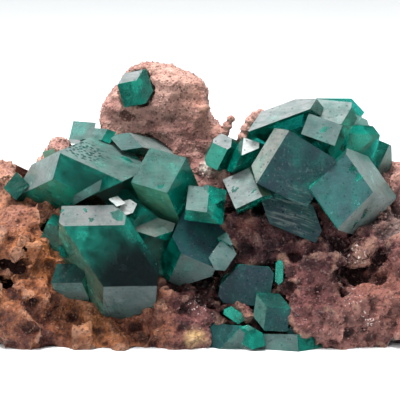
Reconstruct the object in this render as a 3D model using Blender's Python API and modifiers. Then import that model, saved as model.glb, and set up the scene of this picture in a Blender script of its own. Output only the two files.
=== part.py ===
"""Dioptase crystals on a piece of druse-covered rock, cut off flat below so that it stands.

Units: metres, with the tables below in millimetres. +X right, +Y back, +Z up.
The origin is the middle of the base, and the crystals face the front, -Y.
"""

import math
from typing import NamedTuple

import bmesh
import bpy
from mathutils import Euler, Matrix, Vector

MM = 0.001

# Driving dimensions of the specimen, in millimetres.
WIDTH = 70.0
DEPTH = 37.0
BASE_Z = 0.0
SOCKET_GAP = 0.15

# How the rock's skin is made, in millimetres.
SKIN_VOXEL = 1.1
BUMP_SIZE = 5.0
BUMP_HEIGHT = 1.4
PIT_SIZE = 3.6
PIT_DEPTH = 1.2
SKIN_SHARE_KEPT = 0.27

# Plain colours; the fine look is not part of this model.
ROCK_PINK = (0.42, 0.24, 0.20)
ROCK_ROUGHNESS = 0.8
GREEN = (0.0, 0.25, 0.19)
CRYSTAL_ROUGHNESS = 0.15

# The dioptase form: a six-sided prism closed at each end by a rhombohedron.
PRISM_AZIMUTHS = (30, 90, 150)
END_AZIMUTHS = (0, 120, 240)
END_TILT = 51
BLANK_SIDE = 80.0
SHORTEST_EDGE = 0.02


class Crystal(NamedTuple):
    """One crystal. Its long axis leans from +Z towards a heading, and it is turned about that axis.

    prism and ends are distances from its centre to three prism faces and three end faces, and the
    opposite faces are as far. chips are extra cuts: each one's lean, heading and distance.
    """

    at: tuple
    lean: float
    heading: float
    turn: float
    prism: tuple
    ends: tuple
    chips: tuple = ()


# The crystals grown together on the left shoulder.
LEFT_GROUP = dict(
    long_crystal=Crystal(
        at=(-19.0, -1.0, 22.8),
        lean=70,
        heading=-58,
        turn=47,
        prism=(6.9, 6.3, 3.9),
        ends=(11.7, 6.3, 10.8),
        chips=((51, 150, 4.0), (80, 95, 8.0)),
    ),
    left_tip=Crystal(
        at=(-27.2, -3.5, 21.5),
        lean=94,
        heading=37,
        turn=-39,
        prism=(2.5, 3.7, 3.3),
        ends=(1.3, 1.7, 1.5),
    ),
    front_splinter=Crystal(
        at=(-16.2, -13.3, 22.2),
        lean=60,
        heading=-28,
        turn=38,
        prism=(6.0, 0.9, 0.6),
        ends=(1.7, 7.5, 6.1),
    ),
    ridge_grain=Crystal(
        at=(-22.4, -1.5, 26.0),
        lean=93,
        heading=-123,
        turn=48,
        prism=(2.7, 2.1, 0.6),
        ends=(2.4, 0.9, 0.9),
    ),
    shaded_crystal=Crystal(
        at=(-11.5, -4.5, 20.8),
        lean=78,
        heading=-29,
        turn=26,
        prism=(4.8, 5.1, 2.0),
        ends=(3.4, 2.7, 2.2),
    ),
    skyline_block=Crystal(
        at=(-18.0, 6.5, 28.0),
        lean=93,
        heading=133,
        turn=-10,
        prism=(1.6, 3.8, 1.6),
        ends=(4.6, 1.7, 4.4),
    ),
    skyline_chip=Crystal(
        at=(-15.0, -0.3, 28.6),
        lean=35,
        heading=153,
        turn=-15,
        prism=(3.2, 2.1, 1.4),
        ends=(2.6, 0.5, 1.0),
    ),
    ridge_crystal=Crystal(
        at=(-8.4, -0.4, 27.1),
        lean=80,
        heading=-9,
        turn=-55,
        prism=(1.6, 2.8, 7.2),
        ends=(7.1, 5.6, 1.0),
    ),
    broad_crystal=Crystal(
        at=(-4.7, -7.5, 21.6),
        lean=101,
        heading=-82,
        turn=-37,
        prism=(6.4, 7.0, 5.2),
        ends=(3.0, 2.9, 5.3),
    ),
    right_cube=Crystal(
        at=(0.8, -9.5, 19.8),
        lean=101,
        heading=51,
        turn=30,
        prism=(1.9, 4.4, 2.5),
        ends=(2.3, 3.6, 2.8),
    ),
    right_cube_step=Crystal(
        at=(1.4, -9.5, 21.2),
        lean=122,
        heading=159,
        turn=29,
        prism=(2.5, 1.3, 1.6),
        ends=(1.2, 2.2, 1.3),
    ),
    tall_prism=Crystal(
        at=(-13.2, -12.5, 11.5),
        lean=33,
        heading=176,
        turn=3,
        prism=(3.9, 5.1, 7.6),
        ends=(7.4, 8.3, 5.1),
    ),
    group_heart=Crystal(
        at=(-11.0, -6.0, 16.0),
        lean=60,
        heading=-60,
        turn=10,
        prism=(4.0, 4.0, 4.0),
        ends=(4.5, 4.5, 4.5),
    ),
    left_wing=Crystal(
        at=(-21.2, -8.5, 15.2),
        lean=154,
        heading=-57,
        turn=-7,
        prism=(4.3, 3.1, 1.8),
        ends=(2.4, 1.6, 1.6),
    ),
    left_foot=Crystal(
        at=(-18.3, -11.5, 8.4),
        lean=35,
        heading=173,
        turn=-8,
        prism=(4.8, 7.7, 5.9),
        ends=(2.3, 3.6, 1.6),
    ),
    side_grain=Crystal(
        at=(-19.8, -12.5, 13.4),
        lean=78,
        heading=-86,
        turn=5,
        prism=(1.7, 0.5, 0.6),
        ends=(1.8, 0.9, 2.1),
    ),
    cap_flake=Crystal(
        at=(-10.4, -12.1, 19.9),
        lean=82,
        heading=37,
        turn=-47,
        prism=(1.0, 0.9, 4.1),
        ends=(1.0, 2.8, 1.1),
    ),
    cap_grain=Crystal(
        at=(-11.9, -12.3, 20.8),
        lean=80,
        heading=-88,
        turn=48,
        prism=(1.2, 0.6, 0.7),
        ends=(2.7, 1.2, 2.8),
    ),
    edge_splinter=Crystal(
        at=(-10.0, -11.5, 17.2),
        lean=79,
        heading=-88,
        turn=9,
        prism=(2.6, 0.6, 1.0),
        ends=(3.0, 1.0, 3.1),
    ),
    leaning_prism=Crystal(
        at=(-6.0, -6.5, 13.3),
        lean=112,
        heading=-34,
        turn=8,
        prism=(3.1, 5.8, 3.7),
        ends=(5.7, 2.4, 2.3),
    ),
    leaning_cap=Crystal(
        at=(-6.9, -9.5, 16.6),
        lean=110,
        heading=52,
        turn=37,
        prism=(4.1, 2.6, 1.4),
        ends=(0.8, 3.2, 3.0),
    ),
    lower_prism=Crystal(
        at=(-0.9, -8.5, 12.7),
        lean=81,
        heading=125,
        turn=-7,
        prism=(5.5, 4.4, 5.8),
        ends=(3.5, 3.8, 4.3),
        chips=((156, -3, 3.8),),
    ),
    lower_block=Crystal(
        at=(3.3, -11.5, 12.6),
        lean=78,
        heading=-91,
        turn=26,
        prism=(1.5, 1.9, 2.1),
        ends=(6.2, 1.7, 4.9),
    ),
    lower_grain=Crystal(
        at=(3.6, -10.5, 14.7),
        lean=61,
        heading=110,
        turn=29,
        prism=(0.8, 1.4, 0.6),
        ends=(1.7, 0.9, 1.0),
    ),
)

# The crystals grown together on the right shoulder.
RIGHT_GROUP = dict(
    crest_crystal=Crystal(
        at=(17.6, 8.3, 28.5),
        lean=71,
        heading=-114,
        turn=-55,
        prism=(6.4, 1.8, 3.8),
        ends=(15.4, 10.7, 8.2),
        chips=((32, 133, 4.3), (31, 72, 0.2), (47, 23, 5.5), (98, 0, 6.4), (75, 85, 5.0)),
    ),
    crest_slab=Crystal(
        at=(19.7, 2.5, 31.8),
        lean=100,
        heading=47,
        turn=29,
        prism=(4.2, 4.1, 1.7),
        ends=(1.4, 4.2, 2.9),
    ),
    crest_root=Crystal(
        at=(10.1, 1.5, 27.7),
        lean=111,
        heading=147,
        turn=26,
        prism=(1.7, 4.1, 2.0),
        ends=(2.5, 3.0, 5.0),
    ),
    crest_rim=Crystal(
        at=(20.5, 5.5, 31.4),
        lean=81,
        heading=-29,
        turn=16,
        prism=(5.4, 4.3, 1.8),
        ends=(3.4, 3.0, 1.6),
    ),
    crest_step=Crystal(
        at=(18.0, -3.0, 29.9),
        lean=72,
        heading=-133,
        turn=20,
        prism=(5.9, 4.8, 1.6),
        ends=(6.4, 2.4, 2.6),
    ),
    crest_blade=Crystal(
        at=(21.1, -1.5, 29.1),
        lean=137,
        heading=-72,
        turn=-34,
        prism=(3.7, 2.4, 2.7),
        ends=(4.1, 0.8, 1.1),
    ),
    crest_grain=Crystal(
        at=(23.8, 1.3, 30.3),
        lean=73,
        heading=138,
        turn=52,
        prism=(1.7, 1.0, 0.9),
        ends=(1.3, 2.7, 2.4),
    ),
    group_heart=Crystal(
        at=(14.5, -1.5, 24.5),
        lean=30,
        heading=-110,
        turn=0,
        prism=(4.0, 4.0, 4.0),
        ends=(4.0, 4.0, 4.0),
    ),
    right_heart=Crystal(
        at=(22.0, 2.0, 26.2),
        lean=30,
        heading=60,
        turn=10,
        prism=(3.5, 3.5, 3.5),
        ends=(4.0, 4.0, 4.0),
    ),
    right_prism=Crystal(
        at=(24.2, -0.5, 27.1),
        lean=125,
        heading=-54,
        turn=-11,
        prism=(5.2, 5.4, 3.0),
        ends=(3.0, 2.3, 1.9),
    ),
    right_step=Crystal(
        at=(27.3, 2.0, 24.6),
        lean=144,
        heading=81,
        turn=27,
        prism=(1.7, 1.0, 3.1),
        ends=(2.5, 2.2, 2.7),
    ),
    dark_prism=Crystal(
        at=(14.4, -7.5, 26.8),
        lean=135,
        heading=-72,
        turn=-37,
        prism=(5.4, 5.8, 7.1),
        ends=(6.5, 5.0, 4.8),
        chips=((31, 45, 1.4), (37, 34, 1.0)),
    ),
    striated_foot=Crystal(
        at=(13.3, -8.5, 18.2),
        lean=28,
        heading=-133,
        turn=47,
        prism=(5.5, 3.4, 6.1),
        ends=(1.7, 2.5, 5.1),
    ),
    corner_crystal=Crystal(
        at=(22.3, -8.5, 21.4),
        lean=73,
        heading=-122,
        turn=-24,
        prism=(7.2, 3.1, 3.0),
        ends=(6.8, 3.1, 5.8),
    ),
    pitted_block=Crystal(
        at=(7.1, -5.5, 21.2),
        lean=90,
        heading=-130,
        turn=-59,
        prism=(3.2, 2.8, 6.3),
        ends=(2.8, 7.9, 2.9),
    ),
    saddle_blade=Crystal(
        at=(6.6, -3.5, 25.8),
        lean=74,
        heading=-117,
        turn=18,
        prism=(1.6, 3.5, 2.7),
        ends=(6.3, 4.0, 1.7),
    ),
    saddle_crystal=Crystal(
        at=(3.2, -1.5, 26.2),
        lean=123,
        heading=-96,
        turn=-31,
        prism=(1.8, 2.0, 2.2),
        ends=(2.6, 1.6, 1.6),
    ),
)

# The crystals grown together at the foot, in front. The base cuts the lowest ones.
FOOT_GROUP = dict(
    dark_block=Crystal(
        at=(6.7, -11.5, 8.3),
        lean=57,
        heading=127,
        turn=-45,
        prism=(6.3, 4.2, 4.8),
        ends=(1.7, 3.7, 2.9),
        chips=((45, 180, 3.0),),
    ),
    foot_cube=Crystal(
        at=(10.4, -13.5, 4.7),
        lean=121,
        heading=-53,
        turn=-14,
        prism=(2.6, 2.7, 2.5),
        ends=(2.7, 2.6, 2.8),
    ),
    cube_grain=Crystal(
        at=(13.1, -15.5, 2.3),
        lean=127,
        heading=-123,
        turn=25,
        prism=(3.5, 1.4, 1.3),
        ends=(0.6, 0.7, 0.5),
    ),
    base_block=Crystal(
        at=(3.8, -15.4, 1.2),
        lean=97,
        heading=3,
        turn=-43,
        prism=(2.1, 3.4, 1.5),
        ends=(2.7, 1.2, 3.2),
        chips=((180, 0, 1.2),),
    ),
    base_slab=Crystal(
        at=(12.9, -15.9, 0.5),
        lean=62,
        heading=41,
        turn=45,
        prism=(2.4, 5.3, 2.5),
        ends=(1.8, 1.4, 5.1),
        chips=((180, 0, 0.5),),
    ),
    base_grain=Crystal(
        at=(7.2, -15.9, 1.6),
        lean=74,
        heading=139,
        turn=58,
        prism=(1.5, 2.1, 1.4),
        ends=(1.9, 1.8, 1.9),
        chips=((180, 0, 1.6),),
    ),
)

# The crystals grown together on the back of the left shoulder.
BACK_GROUP = dict(
    back_prism=Crystal(
        at=(-15.5, 11.8, 15.8),
        lean=52,
        heading=118,
        turn=20,
        prism=(3.2, 2.8, 3.1),
        ends=(4.9, 4.6, 4.8),
    ),
    back_block=Crystal(
        at=(-10.8, 13.2, 12.6),
        lean=74,
        heading=72,
        turn=5,
        prism=(2.3, 2.1, 2.5),
        ends=(3.4, 3.5, 3.2),
    ),
    back_grain=Crystal(
        at=(-15.2, 14.0, 10.9),
        lean=100,
        heading=110,
        turn=40,
        prism=(1.6, 1.5, 1.7),
        ends=(2.3, 2.2, 2.4),
    ),
)

# Crystals that stand alone, each its own piece.
LONE_CRYSTALS = dict(
    summit_crystal=Crystal(
        at=(-9.6, 0.6, 35.6),
        lean=48,
        heading=54,
        turn=44,
        prism=(1.9, 2.5, 2.3),
        ends=(2.0, 2.5, 2.4),
    ),
    cleft_crystal=Crystal(
        at=(11.5, -11.5, 10.1),
        lean=17,
        heading=-85,
        turn=-8,
        prism=(2.3, 0.6, 2.4),
        ends=(1.6, 1.4, 1.4),
    ),
    sliver_crystal=Crystal(
        at=(5.0, -13.5, 4.3),
        lean=77,
        heading=-91,
        turn=-4,
        prism=(1.4, 1.6, 0.8),
        ends=(2.7, 1.6, 3.6),
    ),
    back_crystal=Crystal(
        at=(8.6, 13.4, 10.4),
        lean=63,
        heading=97,
        turn=14,
        prism=(2.5, 2.3, 2.4),
        ends=(3.4, 3.6, 3.3),
    ),
    left_side_crystal=Crystal(
        at=(-31.0, 5.5, 11.6),
        lean=58,
        heading=168,
        turn=25,
        prism=(2.0, 1.9, 2.1),
        ends=(2.9, 2.8, 3.0),
    ),
    right_side_crystal=Crystal(
        at=(30.2, 3.5, 14.4),
        lean=66,
        heading=20,
        turn=8,
        prism=(2.3, 2.1, 2.2),
        ends=(3.1, 3.2, 2.9),
    ),
)

CRYSTAL_GROUPS = dict(
    left_group=LEFT_GROUP,
    right_group=RIGHT_GROUP,
    foot_group=FOOT_GROUP,
    back_group=BACK_GROUP,
)

# The rock's masses: each one's middle and half-sizes.
ROCK_MASSES = dict(
    left_foot=((-25.5, -3.0, 3.0), (9.5, 13.5, 9.0)),
    under_tall_prism=((-13.0, -6.0, -2.0), (10.5, 11.5, 6.0)),
    middle_foot=((-3.0, -5.5, 0.5), (9.0, 11.5, 7.0)),
    foot_front=((5.0, -8.5, 3.0), (6.5, 6.5, 5.5)),
    right_foot=((19.5, -3.5, 2.5), (15.0, 13.5, 9.5)),
    left_belly=((-23.0, 0.0, 11.0), (11.0, 10.5, 8.5)),
    middle_belly=((-4.0, 0.5, 12.0), (14.0, 9.0, 10.0)),
    centre_front=((7.0, -4.5, 7.5), (7.5, 6.5, 7.0)),
    right_front=((15.5, -5.5, 9.0), (6.5, 6.5, 6.0)),
    right_belly=((20.5, -1.0, 11.0), (13.0, 10.5, 10.0)),
    left_shoulder=((-22.5, 4.5, 14.8), (10.5, 9.0, 6.7)),
    middle_shoulder=((-6.0, 5.6, 19.6), (13.0, 8.6, 7.0)),
    right_shoulder=((18.5, 5.5, 17.0), (14.0, 9.0, 7.5)),
    saddle=((4.0, 4.0, 21.6), (6.5, 7.0, 4.6)),
    left_back=((-18.0, 8.0, 8.0), (14.0, 9.0, 11.0)),
    middle_back=((2.0, 8.5, 9.0), (16.0, 9.0, 13.0)),
    right_back=((20.0, 7.5, 7.0), (13.0, 10.0, 11.0)),
    under_crest=((17.0, 10.5, 19.0), (9.0, 6.5, 6.0)),
)

# Smaller lumps and ledges that show on the rock's skin and skyline.
ROCK_LUMPS = dict(
    left_skyline=((-30.5, 3.0, 20.5), (3.2, 4.5, 3.4)),
    left_ledge=((-30.5, -1.0, 15.0), (3.6, 5.5, 3.2)),
    small_skyline=((-21.5, 3.5, 25.4), (1.8, 2.4, 2.6)),
    left_saddle=((-20.0, 3.0, 21.5), (4.5, 5.0, 4.0)),
    right_skyline=((31.0, 2.0, 19.0), (3.6, 6.0, 4.6)),
    saddle_knob=((3.8, 2.0, 28.6), (1.0, 1.5, 2.1)),
    chain_foot=((7.4, 3.4, 26.6), (1.3, 2.0, 2.2)),
    chain_low=((7.2, 2.8, 28.4), (1.0, 1.4, 1.2)),
    chain_middle=((7.8, 2.8, 29.7), (1.1, 1.4, 1.2)),
    chain_high=((8.8, 3.0, 30.5), (1.2, 1.4, 1.2)),
    chain_top=((9.8, 3.2, 30.9), (1.2, 1.4, 1.1)),
    round_lump=((23.5, -9.5, 12.8), (3.2, 3.4, 2.8)),
    right_front_lump=((29.0, -9.5, 8.5), (4.5, 4.5, 4.5)),
    right_low_lump=((24.5, -12.0, 4.5), (5.0, 4.0, 4.0)),
    right_groove_lump=((17.5, -11.5, 6.5), (3.6, 3.4, 4.2)),
    upper_ledge=((9.5, -5.5, 17.0), (6.0, 4.0, 1.1)),
    middle_ledge=((8.5, -6.0, 14.4), (6.5, 4.5, 1.2)),
    lower_ledge=((10.5, -6.5, 11.8), (6.0, 5.0, 1.2)),
    v_lump=((-5.2, -7.0, 8.0), (2.2, 3.4, 2.6)),
    centre_low_lump=((-2.2, -11.0, 3.0), (4.0, 4.5, 3.4)),
    left_low_lump=((-25.0, -12.0, 3.5), (5.0, 4.5, 3.4)),
    left_low_ledge=((-17.0, -11.0, 1.0), (5.0, 5.5, 2.2)),
    left_middle_lump=((-28.0, -8.0, 11.5), (4.0, 4.0, 3.2)),
    left_upper_lump=((-25.0, -6.0, 16.5), (3.4, 3.6, 2.6)),
)

# Angular blocks and shelves of rock: middle, half-sizes, and tilt about X, Y and Z in degrees.
ROCK_BLOCKS = dict(
    left_front_shelf=((-26.8, -12.2, 8.2), (4.6, 3.2, 1.4), (12, -6, 10)),
    left_front_block=((-28.0, -11.6, 4.6), (3.6, 4.2, 3.0), (15, 20, -15)),
    left_low_shelf=((-22.0, -13.6, 3.4), (6.0, 3.0, 1.2), (8, 5, 4)),
    left_upper_shelf=((-27.0, -8.6, 13.2), (4.5, 3.4, 1.2), (-14, 8, -12)),
    middle_shelf=((-3.4, -10.0, 5.6), (3.2, 4.0, 1.1), (-10, 8, 12)),
    centre_block=((0.5, -9.5, 5.4), (3.0, 3.4, 2.4), (10, 18, 20)),
    right_shelf=((17.5, -11.4, 11.4), (5.0, 3.0, 1.3), (-8, -10, -12)),
    right_block=((28.0, -9.6, 13.0), (3.4, 3.2, 2.2), (20, 10, -18)),
    right_middle_shelf=((27.0, -12.4, 8.0), (4.4, 2.6, 1.2), (14, -8, 10)),
    right_low_block=((19.5, -13.4, 3.8), (4.4, 3.0, 2.4), (10, -14, 8)),
    right_low_shelf=((26.5, -12.4, 3.2), (4.2, 2.8, 1.6), (6, 10, -14)),
    right_edge_block=((32.2, -4.0, 10.0), (2.0, 4.5, 3.0), (0, 12, 8)),
    left_edge_block=((-31.8, -2.0, 8.0), (1.9, 5.0, 3.4), (10, 8, -10)),
    back_left_shelf=((-20.0, 13.2, 10.0), (7.0, 3.6, 1.5), (-14, 6, 8)),
    back_right_shelf=((20.0, 13.2, 13.0), (8.0, 3.4, 1.6), (-16, -6, -10)),
    back_right_block=((16.0, 13.4, 5.0), (5.0, 3.0, 3.2), (12, 10, 15)),
    back_low_block=((-4.0, 13.8, 4.0), (6.0, 2.6, 3.0), (8, -8, -8)),
    back_peak_block=((-5.0, 12.2, 22.5), (5.5, 3.2, 3.0), (-18, 8, 12)),
    back_peak_step=((-3.5, 13.6, 17.0), (6.5, 3.0, 1.6), (-12, -6, -8)),
)

# Hollows in the rock's skin.
ROCK_HOLLOWS = dict(
    peak_hollow=((-10.8, 0.2, 31.6), (1.2, 1.8, 1.0)),
    saddle_hollow=((-0.7, -2.4, 26.7), (1.8, 2.2, 1.1)),
    left_upper_hollow=((-25.5, -10.5, 13.8), (1.7, 2.0, 1.1)),
    left_middle_hollow=((-28.5, -12.5, 8.6), (1.9, 2.4, 1.3)),
    left_lower_hollow=((-28.0, -14.0, 5.6), (1.6, 2.0, 1.0)),
    under_round_lump=((23.7, -12.5, 9.7), (2.8, 1.8, 0.9)),
    right_groove=((20.6, -14.0, 8.2), (0.9, 1.8, 2.0)),
    centre_cleft=((13.6, -12.0, 12.8), (2.6, 2.4, 1.2)),
    under_tall_prism=((-10.8, -17.6, 5.3), (6.6, 5.0, 3.6)),
    under_left_foot=((-19.0, -16.0, 5.4), (4.4, 5.2, 3.3)),
    back_left_hollow=((-24.0, 14.5, 14.5), (3.0, 3.2, 2.0)),
    back_right_hollow=((27.0, 14.0, 7.5), (2.6, 3.4, 2.4)),
    back_cleft=((2.0, 17.0, 13.0), (1.6, 2.4, 3.4)),
)

# The peak is bedded: each bed's left edge, right edge, front, back and middle height.
PEAK_BED_THICKNESS = 2.1
PEAK_BEDS = (
    (-13.4, 4.6, 0.2, 11.0, 25.6),
    (-13.8, 2.8, 1.4, 11.0, 27.4),
    (-14.2, 1.8, 0.8, 10.5, 29.2),
    (-14.6, 0.9, 1.6, 10.0, 31.0),
    (-13.8, 0.7, 0.4, 10.0, 32.8),
    (-12.4, 0.8, 0.9, 9.5, 34.4),
    (-11.4, -0.8, 0.5, 8.5, 35.9),
    (-10.4, -3.2, 1.5, 8.0, 37.3),
)


def clear_scene():
    for thing in list(bpy.data.objects):
        bpy.data.objects.remove(thing)


def new_collection(name):
    collection = bpy.data.collections.new(name)
    bpy.context.scene.collection.children.link(collection)
    return collection


def principled(name, colour, roughness):
    material = bpy.data.materials.new(name)
    material.use_nodes = True
    shader = material.node_tree.nodes["Principled BSDF"]
    shader.inputs["Base Color"].default_value = (*colour, 1.0)
    shader.inputs["Roughness"].default_value = roughness
    return material


def mesh_object(name, bm, collection, material=None):
    mesh = bpy.data.meshes.new(name)
    bm.to_mesh(mesh)
    bm.free()
    made = bpy.data.objects.new(name, mesh)
    collection.objects.link(made)
    if material:
        mesh.materials.append(material)
    return made


def direction(lean, heading):
    """Unit vector that leans from +Z towards a heading, both in degrees."""
    lean, heading = math.radians(lean), math.radians(heading)
    return Vector(
        (
            math.sin(lean) * math.cos(heading),
            math.sin(lean) * math.sin(heading),
            math.cos(lean),
        )
    )


def crystal_faces(crystal):
    """Each face's outward normal in the crystal's own axes, and its distance from the centre."""
    for azimuth, distance in zip(PRISM_AZIMUTHS, crystal.prism):
        side = direction(90, azimuth)
        yield side, distance
        yield -side, distance
    for azimuth, distance in zip(END_AZIMUTHS, crystal.ends):
        end = direction(END_TILT, azimuth)
        yield end, distance
        yield -end, distance


def cut_face(bm, normal, distance):
    """Cuts off all that lies beyond a plane, and closes the cut with a flat face."""
    cut = bmesh.ops.bisect_plane(
        bm,
        geom=bm.verts[:] + bm.edges[:] + bm.faces[:],
        dist=1e-6 * MM,
        plane_co=normal * distance * MM,
        plane_no=normal,
        clear_outer=True,
    )
    edges = [part for part in cut["geom_cut"] if isinstance(part, bmesh.types.BMEdge)]
    if edges:
        bmesh.ops.edgeloop_fill(bm, edges=edges)


def crystal_body(crystal, grow=0.0):
    """The crystal as a closed mesh in place, with every face moved out by grow."""
    bm = bmesh.new()
    bmesh.ops.create_cube(bm, size=BLANK_SIDE * MM)
    for normal, distance in crystal_faces(crystal):
        cut_face(bm, normal, distance + grow)
    stance = (
        Matrix.Rotation(math.radians(crystal.heading), 4, "Z")
        @ Matrix.Rotation(math.radians(crystal.lean), 4, "Y")
        @ Matrix.Rotation(math.radians(crystal.turn), 4, "Z")
    )
    bm.transform(stance)
    for lean, heading, distance in crystal.chips:
        cut_face(bm, direction(lean, heading), distance + grow)
    bm.transform(Matrix.Translation(Vector(crystal.at) * MM))
    bmesh.ops.remove_doubles(bm, verts=bm.verts[:], dist=SHORTEST_EDGE * MM)
    bmesh.ops.recalc_face_normals(bm, faces=bm.faces[:])
    return bm


def as_cutter(helper):
    helper.hide_render = True
    helper.display_type = "WIRE"
    return helper


def join_or_cut(target, name, operation, others):
    """A live Boolean of target with every object in a collection."""
    boolean = target.modifiers.new(name, "BOOLEAN")
    boolean.operation = operation
    boolean.operand_type = "COLLECTION"
    boolean.collection = others
    boolean.solver = "EXACT"


def crystal_group(name, crystals, specimen, material):
    """Crystals grown into each other, joined in one solid."""
    others = new_collection(name + "_members")
    first, *rest = crystals.items()
    group = mesh_object(name, crystal_body(first[1]), specimen, material)
    for member, crystal in rest:
        as_cutter(mesh_object(f"{name}_{member}", crystal_body(crystal), others))
    join_or_cut(group, "grown together", "UNION", others)
    return group


def add_lump(bm, at, half_sizes, subdivisions=3):
    place = Matrix.LocRotScale(Vector(at) * MM, Euler(), Vector(half_sizes) * MM)
    bmesh.ops.create_icosphere(bm, subdivisions=subdivisions, radius=1.0, matrix=place)


def add_block(bm, at, half_sizes, tilt=(0, 0, 0)):
    turn = Euler([math.radians(angle) for angle in tilt])
    place = Matrix.LocRotScale(Vector(at) * MM, turn, Vector(half_sizes) * 2 * MM)
    bmesh.ops.create_cube(bm, size=1.0, matrix=place)


def add_bed(bm, left, right, front, back, height):
    middle = ((left + right) / 2, (front + back) / 2, height)
    half_sizes = ((right - left) / 2, (back - front) / 2, PEAK_BED_THICKNESS / 2)
    add_block(bm, middle, half_sizes)


def rock_blank():
    """All the rock's masses, lumps, blocks and beds, still overlapping."""
    bm = bmesh.new()
    for at, half_sizes in ROCK_MASSES.values():
        add_lump(bm, at, half_sizes)
    for at, half_sizes in ROCK_LUMPS.values():
        add_lump(bm, at, half_sizes, subdivisions=2)
    for at, half_sizes, tilt in ROCK_BLOCKS.values():
        add_block(bm, at, half_sizes, tilt)
    for bed in PEAK_BEDS:
        add_bed(bm, *bed)
    return bm


def noise_texture(name, kind, size):
    texture = bpy.data.textures.new(name, kind)
    texture.noise_scale = size * MM
    return texture


def displace(rock, texture, height, mid_level):
    push = rock.modifiers.new(texture.name, "DISPLACE")
    push.texture = texture
    push.texture_coords = "LOCAL"
    push.strength = height * MM
    push.mid_level = mid_level


def shape_skin(rock):
    """Fuses the rock's masses, raises bumps and sinks pits, then thins the mesh."""
    fuse = rock.modifiers.new("fuse", "REMESH")
    fuse.mode = "VOXEL"
    fuse.voxel_size = SKIN_VOXEL * MM
    displace(rock, noise_texture("bumps", "CLOUDS", BUMP_SIZE), BUMP_HEIGHT, 0.5)
    displace(rock, noise_texture("pits", "VORONOI", PIT_SIZE), PIT_DEPTH, 0.4)
    thin = rock.modifiers.new("thin", "DECIMATE")
    thin.ratio = SKIN_SHARE_KEPT


def add_sockets(sockets):
    """A slightly larger copy of every crystal, to cut its seat in the rock."""
    for group in (*CRYSTAL_GROUPS.values(), LONE_CRYSTALS):
        for name, crystal in group.items():
            as_cutter(mesh_object("socket_" + name, crystal_body(crystal, SOCKET_GAP), sockets))


def add_hollows(sockets):
    for name, (at, half_sizes) in ROCK_HOLLOWS.items():
        bm = bmesh.new()
        add_lump(bm, at, half_sizes, subdivisions=2)
        as_cutter(mesh_object("hollow_" + name, bm, sockets))


def add_base_cutter(sockets):
    """A block below the base, which cuts it off flat."""
    bm = bmesh.new()
    add_block(bm, (0.0, 0.0, BASE_Z - DEPTH / 2), (WIDTH, DEPTH, DEPTH / 2))
    as_cutter(mesh_object("below_base", bm, sockets))


def keep_largest_body(rock):
    """Applies the modifiers and drops crumbs of rock that the sockets cut loose."""
    graph = bpy.context.evaluated_depsgraph_get()
    mesh = bpy.data.meshes.new_from_object(rock.evaluated_get(graph))
    rock.modifiers.clear()
    bm = bmesh.new()
    bm.from_mesh(mesh)
    bodies = []
    unseen = set(bm.verts)
    while unseen:
        body, reach = set(), [unseen.pop()]
        while reach:
            vert = reach.pop()
            body.add(vert)
            near = {edge.other_vert(vert) for edge in vert.link_edges} & unseen
            unseen -= near
            reach.extend(near)
        bodies.append(body)
    largest = max(bodies, key=len)
    bmesh.ops.delete(bm, geom=[v for v in bm.verts if v not in largest], context="VERTS")
    bm.to_mesh(rock.data)
    bm.free()


def matrix_rock(specimen, material):
    """The host rock, with a socket for every crystal."""
    rock = mesh_object("matrix", rock_blank(), specimen, material)
    shape_skin(rock)
    sockets = new_collection("sockets")
    add_sockets(sockets)
    add_hollows(sockets)
    add_base_cutter(sockets)
    join_or_cut(rock, "sockets and base", "DIFFERENCE", sockets)
    bpy.context.view_layer.update()
    keep_largest_body(rock)
    return rock


def build():
    clear_scene()
    specimen = new_collection("dioptase_specimen")
    matrix_rock(specimen, principled("druse", ROCK_PINK, ROCK_ROUGHNESS))
    for name, crystals in CRYSTAL_GROUPS.items():
        crystal_group(name, crystals, specimen, principled(name, GREEN, CRYSTAL_ROUGHNESS))
    for name, crystal in LONE_CRYSTALS.items():
        material = principled(name, GREEN, CRYSTAL_ROUGHNESS)
        mesh_object(name, crystal_body(crystal), specimen, material)


build()
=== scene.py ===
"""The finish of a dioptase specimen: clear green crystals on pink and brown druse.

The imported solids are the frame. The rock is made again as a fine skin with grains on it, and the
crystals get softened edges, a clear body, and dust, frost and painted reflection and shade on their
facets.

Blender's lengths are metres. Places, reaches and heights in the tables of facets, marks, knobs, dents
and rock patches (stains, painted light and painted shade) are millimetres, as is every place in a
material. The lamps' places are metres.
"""

import math
from typing import NamedTuple

import bpy
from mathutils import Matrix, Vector

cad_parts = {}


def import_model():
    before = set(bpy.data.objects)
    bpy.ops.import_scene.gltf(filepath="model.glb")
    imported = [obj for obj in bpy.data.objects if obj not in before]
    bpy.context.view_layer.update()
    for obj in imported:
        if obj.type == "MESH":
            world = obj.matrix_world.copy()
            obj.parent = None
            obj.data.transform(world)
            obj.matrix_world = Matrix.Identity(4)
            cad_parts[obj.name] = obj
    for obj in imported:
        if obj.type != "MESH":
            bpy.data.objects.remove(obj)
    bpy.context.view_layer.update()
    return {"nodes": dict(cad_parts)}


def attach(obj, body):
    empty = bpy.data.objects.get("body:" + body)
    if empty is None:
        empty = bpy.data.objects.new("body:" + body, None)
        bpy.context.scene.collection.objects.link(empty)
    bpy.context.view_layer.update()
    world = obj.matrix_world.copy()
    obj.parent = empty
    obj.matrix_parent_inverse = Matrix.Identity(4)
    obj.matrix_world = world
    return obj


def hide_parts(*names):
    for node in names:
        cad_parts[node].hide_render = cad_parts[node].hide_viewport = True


MM = 0.001

# The view: the camera's height above the target's level, its distance, and its lens.
TARGET = Vector((0.0, 0.0, 18.8)) * MM
CAMERA_ELEVATION = 10
CAMERA_DISTANCE = 300 * MM
CAMERA_LENS = 180
CAMERA_SENSOR = 36
CAMERA_NEAR = 10 * MM

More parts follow.
